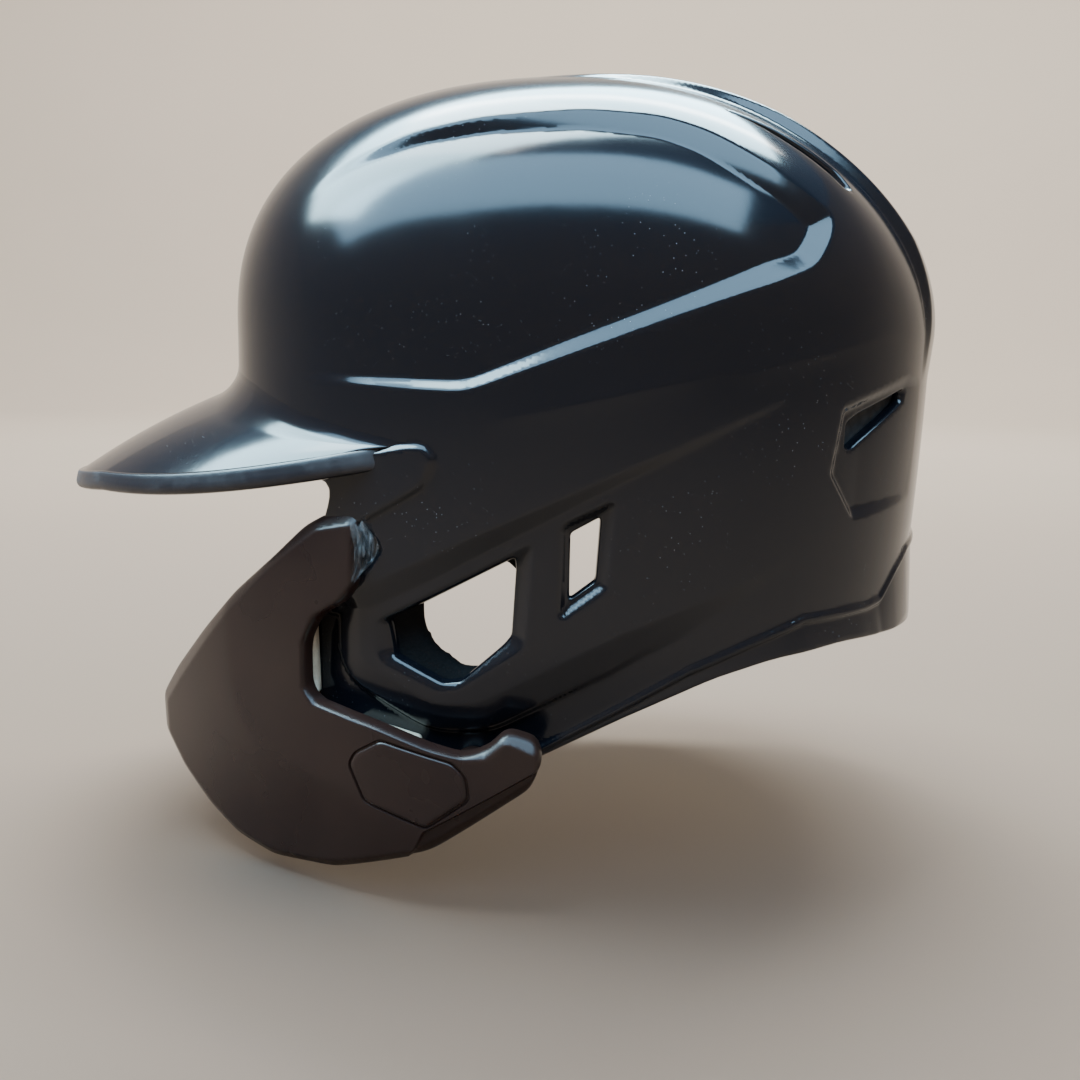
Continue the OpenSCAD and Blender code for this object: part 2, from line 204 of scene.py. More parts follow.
RELIEFS = [
    # Crown panel
    (lambda p: across(p, CROWN_PANEL), lambda p: 2.6 + 3.2 * clamp((p[:, 1] + 45) / 100), panel_height),
    # Crown band
    (lambda p: BAND_EDGE + BAND_WALL - np.abs(p[:, 0]), lambda p: BAND_WALL, band_height),
    # Field around the ear, below a long band
    (lambda p: left_only(p, across(p, EAR_FIELD)), lambda p: 1.2 + 5.3 * clamp((58 - p[:, 1]) / 100),
     lambda p: -2.4 * clamp((60 - p[:, 1]) / 85)),
    # Sloping band round the plateau, then the drop to the skirt
    (lambda p: left_only(p, -across(p, PLATEAU)), plateau_slope,
     lambda p: -1.9 * clamp((66 - p[:, 1]) / 50)),
    (lambda p: left_only(p, -across(p, PLATEAU)) - plateau_slope(p), lambda p: 1.8,
     lambda p: -2.2 * clamp((40 - p[:, 1]) / 60)),
    # Bevels of the ear opening and of the vent behind it
    (lambda p: left_only(p, across(p, EAR_BEVEL)), lambda p: 4.6, lambda p: -3.0),
    (lambda p: left_only(p, across(p, VENT_BEVEL)), lambda p: 2.6, lambda p: -2.4),
    # Recess of the rear vent
    (lambda p: across(p, REAR_RECESS), lambda p: 2.8, lambda p: -2.2 * clamp((108 - p[:, 1]) / 22)),
    # Pocket round the front fastener, beside the tape
    (lambda p: left_only(p, across(p, POCKET)), lambda p: 1.0, lambda p: -2.2),
    # Raised plate at each temple
    (lambda p: across(p, TEMPLE), lambda p: 1.2, lambda p: 1.3),
    # Lip along the lower edge: a narrow bead, a groove below it, and the flare to the nape
    (lip_distance, lambda p: 0.9, lambda p: 1.0 * clamp((p[:, 1] + 30) / 20)),
    (lambda p: lip_distance(p) - 2.2, lambda p: 0.8, lambda p: -0.6 * clamp((p[:, 1] + 30) / 20)),
    (lambda p: lip_distance(p) - 3.2,
     lambda p: 4 + 7 * clamp((p[:, 1] - 20) / 60) + 14 * clamp((p[:, 1] - 95) / 20),
     lambda p: 0.6 + 2.2 * clamp((p[:, 1] - 30) / 60)),
]
EDGE_ROUND = 0.8
CREASE_ROUND = 0.45


def over(distance, radius=CREASE_ROUND):
    """The distance where it is over zero, with a small round at zero."""
    return np.where(distance < radius, np.maximum(distance + radius, 0) ** 2 / (4 * radius), distance)


def below_edge(p):
    left = inside(LEFT_EDGE, p[:, 1], p[:, 2])
    right = inside(RIGHT_EDGE, p[:, 1], p[:, 2])
    return np.where(p[:, 0] > 0, left, right)


def cut_distance(p):
    """Distance to the shell's edge or to the nearest hole, positive on the material."""
    y, z = p[:, 1], p[:, 2]
    holes = [below_edge(p), inside(REAR_HOLE, y, z),
             left_only(p, inside(EAR_HOLE, y, z)), left_only(p, inside(VENT_HOLE, y, z)),
             np.where(z > CROWN_SLOT_LOWEST, inside(CROWN_SLOT, np.abs(p[:, 0]), y), OUTSIDE)]
    return -np.max(holes, axis=0)


def soft_crease(y, z, start, end, width):
    """A shallow fold along a line, fading at both ends."""
    start, end = np.array(start, float), np.array(end, float)
    along = (end - start) / np.linalg.norm(end - start)
    t = ((y - start[0]) * along[0] + (z - start[1]) * along[1]) / np.linalg.norm(end - start)
    across = (z - start[1]) * along[0] - (y - start[0]) * along[1]
    fade = np.sin(np.pi * clamp(t))
    return fade * np.exp(-np.abs(across) / width)


def shell_relief(p):
    """How far the reliefs and two soft folds lift the shell's face."""
    total = np.zeros(len(p))
    for distance, wall, height in RELIEFS:
        inward = distance(p)
        total += height(p) * (over(inward) - over(inward - wall(p))) / wall(p)
    total += 0.45 * left_only(p, soft_crease(p[:, 1], p[:, 2], (-27, -6), (46, 11), 5), 0)
    total += 0.45 * soft_crease(p[:, 1], p[:, 2], (40, 8), (96, 22), 4)
    return total


def edge_round(distance, radius=EDGE_ROUND):
    return -radius * clamp(1 - distance / radius) ** 2


# ---------------------------------------------------------------- meshes
class Sheet:
    """A surface made of cells that can be split along lines, so that every edge is crisp. A
    cell is a row of corners, with its last corner repeated to fill the row."""
    WIDTH = 12

    def __init__(self, params, cells, place, period=None):
        self.params = params
        self.cells = self.filled(cells)
        self.place = place
        self.period = period
        self.points = place(params)
        self.fixed = np.zeros(len(params), bool)

    def filled(self, cells):
        rows = [list(cell) + [cell[-1]] * (self.WIDTH - len(cell)) for cell in np.asarray(cells).tolist()]
        return np.array(rows, dtype=int).reshape(-1, self.WIDTH)

    def lengths(self):
        return self.WIDTH + 1 - (self.cells == self.cells[:, -1:]).sum(1)

    def between(self, a, b, t):
        start, end = self.params[a], self.params[b].copy()
        if self.period:
            end[0] += self.period * np.round((start[0] - end[0]) / self.period)
        return start + t * (end - start)

    def settle(self, field, f, reach):
        """Moves free corners that lie close to the line onto it, so that no sliver is left."""
        near = np.flatnonzero((np.abs(f) < 1) & ~self.fixed)
        steps = np.array([[0.1 / HALF_LENGTH if self.period else 0.1, 0], [0, 0.1]])
        here = self.params[near]
        slope = np.stack([(field(self.place(here + step)) - field(self.place(here - step))) / 2
                          for step in steps], 1)
        move = -(f[near] / np.maximum((slope ** 2).sum(1), 1e-9))[:, None] * slope
        close = (np.abs(move) < reach / 0.1).all(1)
        near, moved = near[close], (here + move @ steps)[close]
        self.params[near] = moved
        self.points[near] = self.place(moved)
        f[near] = 0.0
        self.fixed[near] = True

    def split(self, field, levels=(0.0,), reach=0.2, drop=False):
        """Cuts cells where field crosses each level, and can drop what lies below the first."""
        values = field(self.points)
        for at in levels:
            f = values - at
            self.settle(lambda p: field(p) - at, f, reach)
            f[np.abs(f) < 0.01] = 0.0
            self.cut_cells(f)
            if drop:
                whole = np.concatenate([f, np.zeros(len(self.params) - len(f))])
                self.cells = self.cells[whole[self.cells].max(1) > 0]
            values = np.concatenate([f + at, field(self.points[len(f):])])

    def cut_cells(self, f):
        corners = f[self.cells]
        mixed = (corners.max(1) > 0) & (corners.min(1) < 0)
        lengths = self.lengths()[mixed]
        made, fresh, out = {}, [], []
        count = len(self.params)

        def cut(a, b):
            key = (min(a, b), max(a, b))
            if key not in made:
                made[key] = count + len(fresh)
                fresh.append(self.between(key[0], key[1], f[key[0]] / (f[key[0]] - f[key[1]])))
            return made[key]

        for row, length in zip(self.cells[mixed].tolist(), lengths):
            cell, above, below = row[:length], [], []
            for a, b in zip(cell, cell[1:] + cell[:1]):
                if f[a] >= 0:
                    above.append(a)
                if f[a] <= 0:
                    below.append(a)
                if f[a] * f[b] < 0:
                    above.append(cut(a, b))
                    below.append(cut(a, b))
            out += [side + [side[-1]] * (self.WIDTH - len(side)) for side in (above, below)]
        self.cells = np.vstack([self.cells[~mixed], np.array(out, int).reshape(-1, self.WIDTH)])
        if fresh:
            self.params = np.vstack([self.params, fresh])
            self.points = np.vstack([self.points, self.place(np.array(fresh))])
            self.fixed = np.concatenate([self.fixed, np.ones(len(fresh), bool)])

    def border(self):
        """The edges that have a cell on one side only, in their cell's direction."""
        after = np.roll(self.cells, -1, axis=1)
        edges = np.stack([self.cells.ravel(), after.ravel()], 1)
        edges = edges[edges[:, 0] != edges[:, 1]]
        key = edges.min(1) * len(self.params) + edges.max(1)
        _, first, count = np.unique(key, return_index=True, return_counts=True)
        return edges[first[count == 1]]

    def build(self, name, outer, inner):
        """A closed body between two faces of the sheet."""
        used = np.zeros(len(outer), bool)
        used[self.cells.ravel()] = True
        index = np.cumsum(used) - 1
        total = int(used.sum())
        cells = index[self.cells].tolist()
        faces = [cell[:length] for cell, length in zip(cells, self.lengths())]
        backs = [[i + total for i in reversed(face)] for face in faces]
        rim = [(b, a, a + total, b + total) for a, b in index[self.border()].tolist()]
        return mesh_object(name, np.vstack([outer[used], inner[used]]), faces + backs + rim)


def mesh_object(name, points, faces, sharp=50):
    mesh = bpy.data.meshes.new(name)
    mesh.from_pydata((np.asarray(points) * MM).tolist(), [], faces)
    mesh.update()
    mesh.shade_smooth()
    mesh.set_sharp_from_angle(angle=math.radians(sharp))
    made = bpy.data.objects.new(name, mesh)
    bpy.context.scene.collection.objects.link(made)
    return made


def grid_faces(rows, columns, closed=False):
    """Faces of a grid of points, rows by columns, the columns joined round if closed."""
    wide = columns if closed else columns - 1
    r, c = np.meshgrid(np.arange(rows - 1), np.arange(wide), indexing="ij")
    after = (c + 1) % columns
    a = r * columns
    return np.stack([a + c, a + columns + c, a + columns + after, a + after], -1).reshape(-1, 4)


def shell_sheet(phis, levels, closed=False):
    """A sheet on the shell, over a range of headings and levels."""
    grid = np.stack(np.meshgrid(levels, phis, indexing="ij"), -1).reshape(-1, 2)[:, ::-1]
    faces = grid_faces(len(levels), len(phis), closed).tolist()
    if closed:
        faces += [(len(grid), i, (i + 1) % len(phis)) for i in range(len(phis))]
        grid = np.vstack([grid, [[0, 90]]])
    faces = [face + [face[-1]] if len(face) == 3 else face for face in map(list, faces)]
    return Sheet(grid, faces, lambda q: shell_point(q[:, 0], q[:, 1]), period=2 * math.pi)


def make_shell():
    columns, dome_rows, wall_rows = 840, 165, 165
    levels = np.concatenate([np.linspace(90 - 90 / dome_rows, 0, dome_rows),
                             np.linspace(0, LOWEST - WIDEST, wall_rows + 1)[1:]])
    sheet = shell_sheet(np.arange(columns) * 2 * math.pi / columns, levels, closed=True)
    sheet.split(cut_distance, drop=True)
    sheet.split(cut_distance, [EDGE_ROUND * 0.4, EDGE_ROUND])
    for distance, wall, _ in RELIEFS:
        for field in (distance, lambda p: distance(p) - wall(p)):
            sheet.split(field, [-CREASE_ROUND, CREASE_ROUND])
    outward = shell_outward(sheet.params[:, 0], sheet.params[:, 1])
    relief = shell_relief(sheet.points)
    outer = sheet.points + outward * (relief + edge_round(cut_distance(sheet.points)))[:, None]
    return sheet.build("shell_body", outer, sheet.points + outward * (relief - SHELL_WALL)[:, None])


# ---------------------------------------------------------------- brim
BRIM_CORNER_Y, BRIM_CORNER_Z = -45, -12
BRIM_HALF_WIDTH, BRIM_REACH, BRIM_POWER, BRIM_SLOPE, BRIM_SAG = 97, 137, 2.1, 0.135, 2.3
ROOT_FRONT, ROOT_SIDE = 2, -13
FILLET = 9
BRIM_CREST = 2.0
BRIM_PLATE = 3.2
STRIP_FRONT, STRIP_WIDER_AT_SIDE = 5.2, 1.0


def side_x(y, z, grow=0.0):
    """How far out the left side of the shell is at a place."""
    phi = np.radians(np.linspace(-90, 90, 181))
    ring = shell_point(phi, np.full(181, z - WIDEST), grow)
    return np.interp(y, ring[:, 1], ring[:, 0])


def brim_edge(a):
    """The brim's edge from temple to temple. It sinks in at each end, to meet the raised plate."""
    y = BRIM_CORNER_Y - BRIM_REACH * np.cos(a) ** (2 / BRIM_POWER)
    x = BRIM_HALF_WIDTH * np.abs(np.sin(a)) ** (2 / BRIM_POWER)
    x = x - 1.5 * clamp((np.degrees(np.abs(a)) - 80) / 5)
    side = clamp((np.degrees(np.abs(a)) - 38) / 50)
    z = BRIM_CORNER_Z + BRIM_SLOPE * (y - BRIM_CORNER_Y) - BRIM_SAG * np.sin(np.pi * side)
    return np.stack([x * np.sign(a), y, z], -1)


def brim_surface(a, t):
    """The brim's upper face: a runs from temple to temple, t from the shell to the edge."""
    edge = brim_edge(a)
    phi = np.arctan2(edge[..., 1] * 0.8, edge[..., 0])
    root_z = ROOT_SIDE + (ROOT_FRONT - ROOT_SIDE) * np.cos(a) ** 2
    root = shell_point(phi, root_z - WIDEST)
    run = np.linalg.norm(edge[..., :2] - root[..., :2], axis=-1)
    fillet = FILLET * clamp(run / 40)
    s = clamp(1 - t * run / np.maximum(fillet, 0.5))
    curve = fillet * (1 - np.sqrt(1 - s * s))
    z = root_z + (edge[..., 2] - root_z) * t + curve + BRIM_CREST * np.cos(a) * np.sin(np.pi * t)
    wall = shell_point(phi, z - WIDEST)
    xy = wall[..., :2] + (edge[..., :2] - root[..., :2]) * t[..., None] * np.ones_like(wall[..., :2])
    xy = xy + (root[..., :2] - wall[..., :2]) * (t ** 2)[..., None]
    inward = -0.06 * (1 - t)
    direction = wall[..., :2] / np.linalg.norm(wall[..., :2], axis=-1, keepdims=True)
    return np.concatenate([xy + direction * inward[..., None], z[..., None]], -1)


def make_brim():
    angles = np.radians(np.linspace(-88, 88, 361))
    ts = np.concatenate([np.linspace(0, 0.03, 6)[:-1], np.linspace(0.03, 0.2, 16)[:-1],
                         np.linspace(0.2, 0.97, 34), [0.985]])
    a, t = np.meshgrid(angles, ts)
    top = brim_surface(a, t)
    edge = brim_edge(angles)
    tangent = np.gradient(edge[:, :2], axis=0)
    tangent /= np.linalg.norm(tangent, axis=1, keepdims=True)
    outward = np.stack([-tangent[:, 1], tangent[:, 0], np.zeros(len(a[0]))], -1)
    outward *= np.sign(np.sum(outward[:, :2] * (edge[:, :2] - [0, BRIM_CORNER_Y]), axis=1))[:, None]
    up = np.array([0, 0, 1.0])
    strip = STRIP_FRONT + STRIP_WIDER_AT_SIDE * np.abs(np.sin(angles))[:, None]
    proud = clamp((np.radians(87) - np.abs(angles)) / np.radians(3))[:, None]

    # Across the edge: a raised line along the top, the strip's face, and a rounded underside.
    # Each step is a distance out from the edge, a rise, and how far down the strip it is.
    profile = [(-1.7, 0.0, 0), (-1.1, 0.55, 0), (-0.3, 0.7, 0), (0.4, 0.35, 0), (0.75, -0.2, 0),
               (1.0, 0, 0.2), (1.25, 0, 0.4), (1.45, 0, 0.6), (1.3, 0, 0.78), (0.8, 0, 0.92),
               (-0.1, 0, 1.0), (-1.3, 0, 1.02), (-2.6, 0, 0.95)]
    rows = [edge + outward * out * (proud if out > 0 else 1) + up * (rise - strip * down)
            for out, rise, down in profile]
    under = brim_surface(*np.meshgrid(angles, np.linspace(0.95, 0, 20)))
    under[..., 2] -= BRIM_PLATE
    grid = np.concatenate([top, np.array(rows), under], 0)
    faces = grid_faces(grid.shape[0], grid.shape[1]).tolist()
    brim = mesh_object("shell_brim", grid.reshape(-1, 3), faces)
    first_strip = len(ts) + 3
    for index, polygon in enumerate(brim.data.polygons):
        row = index // (grid.shape[1] - 1)
        polygon.material_index = 1 if first_strip <= row < first_strip + 6 else 0
    return brim


# ---------------------------------------------------------------- face guard
GUARD_SIDE = 104
GUARD_BEND = 0.0035
GUARD_BEND_START = -20
GUARD_THICKNESS = 4.5
GUARD_CELL = 0.8
ACROSS = np.array([1.0, 0, 0])
GUARD_OUTLINE = rounded([(-62.5, -31.5), (-74, -34), (-82, -38.5), (-92, -48), (-108, -62), (-122.5, -77.5),
                         (-137, -94.5), (-146, -107), (-146, -121), (-137, -131.5), (-124, -141.5),
                         (-111.5, -148), (-97, -151), (-74.5, -148.5), (-41.5, -136.5), (-12, -115),
                         (-8, -104), (-10, -99), (-19, -96), (-25, -102), (-32, -104), (-42, -102),
                         (-58, -97), (-79, -92), (-82, -88), (-82, -74), (-78, -66), (-69, -60), (-65, -55),
                         (-64.5, -38)], 3)
GUARD_FACE = rounded([(-66, -36.5), (-77, -39), (-86, -46), (-95, -54), (-110, -68.5), (-119.5, -79.5),
                      (-134, -97.5), (-142, -108.5), (-142, -119.5), (-134, -129), (-121.5, -138.5),
                      (-110.5, -144.3), (-97, -147), (-74.5, -144.5), (-45.5, -134.5), (-10, -110),
                      (-10.5, -103), (-19, -99.3), (-25, -104.4), (-32, -105), (-42, -103.2),
                      (-58, -98.2), (-79.8, -93.1), (-83.1, -88.4), (-83.1, -74), (-79, -65),
                      (-70, -59), (-66.2, -54)], 1)
LOWER_STEP = [(-44, -128.5), (-10, -107.3), (5, -98), (5, -160), (-60, -160), (-48, -137)]
GUARD_RIDGE = rounded([(-110, -50), (-109, -75), (-108, -94), (-101, -106), (-90, -112), (-70, -116),
                       (-60, -122), (-43, -129), (-11, -109), (20, -98), (20, -50)], 8)
BADGE = rounded([(-57, -101), (-65, -106), (-67, -110), (-62, -121), (-43, -127), (-30, -117),
                 (-31, -110), (-35, -106)], 1.5)


def guard_x(y):
    return GUARD_SIDE - GUARD_BEND * np.maximum(0, GUARD_BEND_START - y) ** 2


def guard_place(q):
    return np.stack([guard_x(q[:, 0]), q[:, 0], q[:, 1]], -1)


def guard_cut(p):
    return inside(GUARD_OUTLINE, p[:, 1], p[:, 2])


def guard_chamfer(p):
    return -inside(GUARD_FACE, p[:, 1], p[:, 2])


def guard_facet(p):
    return -inside(GUARD_RIDGE, p[:, 1], p[:, 2])


def badge_seat(p):
    return inside(BADGE, p[:, 1], p[:, 2])


def guard_relief(p):
    """How far the facet, the chamfer and the lower step set the guard's face back."""
    facet = over(guard_facet(p), 3)
    step = 1.4 * clamp(inside(LOWER_STEP, p[:, 1], p[:, 2]) / 0.9)
    return -0.14 * facet ** 2 / (facet + 4) - 0.85 * over(guard_chamfer(p), 0.3) - step


def guard_outward(p):
    slope = 2 * GUARD_BEND * np.maximum(0, GUARD_BEND_START - p[:, 1])
    outward = np.stack([np.ones_like(slope), -slope, np.zeros_like(slope)], -1)
    return outward / np.linalg.norm(outward, axis=1, keepdims=True)


def guard_sheet(cut, splits):
    """A sheet in the guard's plane, cut to a field and split along the levels of others."""
    ys, zs = np.arange(-148, -4, GUARD_CELL), np.arange(-30, -153, -GUARD_CELL)
    params = np.stack(np.meshgrid(ys, zs), -1).reshape(-1, 2)
    sheet = Sheet(params, grid_faces(len(zs), len(ys)), guard_place)
    sheet.split(cut, drop=True)
    for field, levels in splits:
        sheet.split(field, levels)
    return sheet


def make_guard():
    sheet = guard_sheet(guard_cut, [(guard_cut, [0.35, 0.9]), (guard_chamfer, [-0.3, 0.3]),
                                    (lambda p: inside(LOWER_STEP, p[:, 1], p[:, 2]), [0, 0.9]),
                                    (badge_seat, [-0.7, -0.3])])
    p, outward = sheet.points, guard_outward(sheet.points)
    groove = -0.7 * clamp((badge_seat(p) + 0.7) / 0.4)
    face = p + ACROSS * guard_relief(p)[:, None]
    outer = face + outward * (edge_round(guard_cut(p), 0.9) + groove)[:, None]
    return sheet.build("guard_body", outer, face - outward * GUARD_THICKNESS)


def make_badge():
    sheet = guard_sheet(lambda p: badge_seat(p) - 0.1, [(badge_seat, [0.4, 0.9])])
    p, outward = sheet.points, guard_outward(sheet.points)
    face = p + ACROSS * guard_relief(p)[:, None]
    outer = face + outward * (0.4 + edge_round(badge_seat(p) - 0.1, 0.7))[:, None]
    return sheet.build("guard_plate", outer, face - outward * 0.65)


# ---------------------------------------------------------------- fittings of the guard
SCREW_PLACES = [(-73, -49), (-30, -112), (-60, -108)]
BOSS_RADIUS, SEAT_RADIUS = 6, 6.5
WASHER_REACH = 8


def rod(name, start, end, radius, y, z):
    """A round boss along X, with softened ends."""
    sides, soft = 48, 0.6
    turns = np.arange(sides) * 2 * math.pi / sides
    rings = [(start, 0), (start, radius - soft), (start + soft, radius), (end - soft, radius),
             (end, radius - soft), (end, 0)]
    points = [(x, y + r * math.cos(a), z + r * math.sin(a)) for x, r in rings for a in turns]
    return mesh_object(name, points, grid_faces(len(rings), sides, closed=True)[:, ::-1].tolist())


def flap_x(y, z):
    """The flap's outer face at a place, with its reliefs."""
    x = float(side_x(y, z))
    return x + float(shell_relief(np.array([[x, y, z]]))[0])


def make_bosses():
    """Posts on the guard that meet the flap at each screw."""
    return [rod(f"guard_boss_{i + 1}", flap_x(y, z) + 0.3, float(guard_x(y)) - 3.5, BOSS_RADIUS, y, z)
            for i, (y, z) in enumerate(SCREW_PLACES)]


def make_seats():
    """Flat pads inside the flap that the washers sit on."""
    washers = np.array([v.co[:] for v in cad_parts["guard_washers"].data.vertices]) / MM
    seats = []
    for i, (y, z) in enumerate(SCREW_PLACES):
        here = np.hypot(washers[:, 1] - y, washers[:, 2] - z) < WASHER_REACH
        seats.append(rod(f"shell_seat_{i + 1}", washers[here, 0].max() + 0.1, flap_x(y, z) - 1.5,
                         SEAT_RADIUS, y, z))
    return seats


def make_foam_tape(name, outline):
    """A strip of foam tape that fills the gap between the guard and the flap."""
    strip = rounded(outline, 0.8)
    soft = 0.6

    def edge(p):
        return across(p, strip)

    sheet = guard_sheet(edge, [(edge, [soft])])
    p = sheet.points
    outer = p + ACROSS * (guard_relief(p) - GUARD_THICKNESS - 1.2 + edge_round(edge(p), soft))[:, None]
    flap = np.array([side_x(y, z) for _, y, z in p])
    inner = np.stack([flap, p[:, 1], p[:, 2]], -1)
    inner[:, 0] += shell_relief(inner) + 0.3
    return sheet.build(name, outer, inner)


def make_clear_tape():
    """A crumpled scrap of clear tape, stuck between the guard's top and the flap."""
    columns, rows = 15, 40
    across, down = np.meshgrid(np.linspace(0, 1, columns), np.linspace(0, 1, rows))
    y = -65.5 + 6 * across * np.sin(np.pi * (0.2 + 0.75 * down)) + 1.5 * np.sin(3 * down)
    z = -36 - 17 * down + 0.8 * np.sin(9 * across)
    x = 97.5 - 5 * across + 0.6 * np.sin(17 * across + 5 * down) + 0.5 * np.sin(13 * down + 4 * across)
    points = np.stack([x, y, z], -1).reshape(-1, 3)
    tape = mesh_object("clear_tape", points, grid_faces(rows, columns).tolist())
    skin = tape.modifiers.new("thickness", "SOLIDIFY")
    skin.thickness = 0.25 * MM
    return tape


# ---------------------------------------------------------------- foam liner and pads
LINER_OUTER, LINER_INNER = -4.4, -14.4
PAD_OUTER, PAD_INNER = -14.8, -22.2
SEAM_DEPTH, SEAM_WIDTH = 1.4, 1.3
SWELL_FRAMES, SWELL_CAP = 20, 3.0
EAR_CENTRE, EAR_RADIUS = (-34, -62), 19
EAR_PAD_INNER, EAR_PAD_INSET = -15.4, 2.5


def moulded(piece, voxel, smooth):
    """Rounds a body's edges the way moulded foam is rounded."""
    remesh = piece.modifiers.new("even", "REMESH")
    remesh.mode = "VOXEL"
    remesh.voxel_size = voxel * MM
    soften = piece.modifiers.new("soften", "SMOOTH")
    soften.iterations = smooth
    graph = bpy.context.evaluated_depsgraph_get()
    mesh = bpy.data.meshes.new_from_object(piece.evaluated_get(graph))
    piece.modifiers.clear()
    piece.data = mesh
    mesh.shade_smooth()
    return piece


def steps(low, high, pitch):
    return np.linspace(low, high, max(4, int(abs(high - low) / pitch) + 1))


def patch(phi_from, phi_to, high, low, pitch=2.0):
    """A sheet over headings in degrees and levels, high to low."""
    phis = np.radians(steps(phi_from, phi_to, pitch / 1.9))
    return shell_sheet(phis, steps(high, low, pitch / 1.6))


def cap(level):
    turns = np.arange(120) * 2 * math.pi / 120
    return shell_sheet(turns, steps(89, level, 1.2), closed=True)


def behind_shell(sheet, gap=0.4):
    """The sheet's points just inside the shell's wall."""
    outward = shell_outward(sheet.params[:, 0], sheet.params[:, 1])
    deep = np.minimum(shell_relief(sheet.points) - SHELL_WALL - gap, LINER_OUTER)
    return sheet.points + outward * deep[:, None]


def make_liner(name, sheet, depth=LINER_INNER):
    inner = shell_point(sheet.params[:, 0], sheet.params[:, 1], depth)
    return moulded(sheet.build(name, behind_shell(sheet), inner), 2.0, 6)


def pad_level(points, grow=-18):
    """The shell level of points at a pad's depth."""
    phi = np.arctan2(points[:, 1], points[:, 0])
    power = by_side(phi, FRONT_POWER, SIDE_POWER, BACK_POWER)
    rise = clamp((points[:, 2] - WIDEST) / (CROWN - WIDEST + grow))
    angle = np.degrees(np.arcsin(rise ** (power / 2)))
    return np.where(points[:, 2] < WIDEST, points[:, 2] - WIDEST, angle)


def swell(piece, pinned, pressure=4.0):
    """Blows the pad's cover up against its fixed back, by cloth simulation."""
    scene = bpy.context.scene
    group = piece.vertex_groups.new(name="back")
    group.add([int(i) for i in np.flatnonzero(pinned)], 1.0, "REPLACE")
    cloth = piece.modifiers.new("cloth", "CLOTH")
    cloth.settings.use_pressure = True
    cloth.settings.uniform_pressure_force = pressure
    cloth.settings.vertex_group_mass = "back"
    cloth.settings.effector_weights.gravity = 0
    cloth.point_cache.frame_end = SWELL_FRAMES
    start = np.array([v.co[:] for v in piece.data.vertices])
    for step in range(1, SWELL_FRAMES + 1):
        scene.frame_set(step)
    shape = piece.evaluated_get(bpy.context.evaluated_depsgraph_get()).data
    move = np.array([v.co[:] for v in shape.vertices]) - start
    length = np.linalg.norm(move, axis=1, keepdims=True)
    move *= np.minimum(1, SWELL_CAP * MM / np.maximum(length, 1e-9))
    piece.modifiers.clear()
    piece.vertex_groups.clear()
    piece.data.vertices.foreach_set("co", (start + move).ravel())
    scene.frame_set(1)


def stitch(piece, seam_distance):
    """Draws the cover in along its seams, where seam_distance is zero."""
    points = np.array([v.co[:] for v in piece.data.vertices]) / MM
    phi, level = np.arctan2(points[:, 1], points[:, 0]), pad_level(points)
    outward = shell_outward(phi, level)
    depth = SEAM_DEPTH * np.exp(-(seam_distance(phi, level) / SEAM_WIDTH) ** 2)
    points += outward * depth[:, None]
    piece.data.vertices.foreach_set("co", (points * MM).ravel())


def make_pad(name, sheet, seam_distance):
    """A covered pad. It is cut a little thin, because the cover swells."""
    back = shell_point(sheet.params[:, 0], sheet.params[:, 1], PAD_OUTER - 0.3)
    front = shell_point(sheet.params[:, 0], sheet.params[:, 1], PAD_INNER + 1.8)
    pad = moulded(sheet.build(name, back, front), 2.4, 3)
    points = np.array([v.co[:] for v in pad.data.vertices]) / MM
    phi = np.arctan2(points[:, 1], points[:, 0])
    limit = shell_point(phi, pad_level(points), PAD_OUTER - 2.2)
    pinned = np.linalg.norm(points, axis=1) > np.linalg.norm(limit, axis=1)
    swell(pad, pinned)
    stitch(pad, seam_distance)
    smooth = pad.modifiers.new("smooth", "SUBSURF")
    smooth.levels = smooth.render_levels = 1
    return pad


def border_seam(phi_from, phi_to, high, low, inset=5.5, channels=()):
    """Distance in millimetres to a seam that runs round a pad, and to channels across it."""
    per_degree = 1.6
    far_away = 40

    def distance(phi, level):
        turn = np.degrees(phi)
        turn = np.where(turn < phi_from - 60, turn + 360, turn)
        scale = np.where(level > 0, 1.45, 1.0)
        sides = [(turn - phi_from) * per_degree, (phi_to - turn) * per_degree,
                 (high - level) * scale, (level - low) * scale]
        edge = np.min(sides, axis=0) - inset
        lines = [np.where(edge > 0, np.abs(turn - at) * per_degree, far_away) for at in channels]
        return np.min([np.abs(edge), *lines], axis=0)
    return distance


def make_ear_pad():
    """The foam ring round the ear, cut to the flap's edge."""
    sheet = patch(-48, -4, -56, -134, 1.6)
    y, z = EAR_CENTRE
    sheet.split(lambda p: -across(p, LEFT_EDGE) - EAR_PAD_INSET, drop=True)
    sheet.split(lambda p: np.hypot(p[:, 1] - y, p[:, 2] - z) - EAR_RADIUS, drop=True)
    return make_liner("ear_foam", sheet, EAR_PAD_INNER)


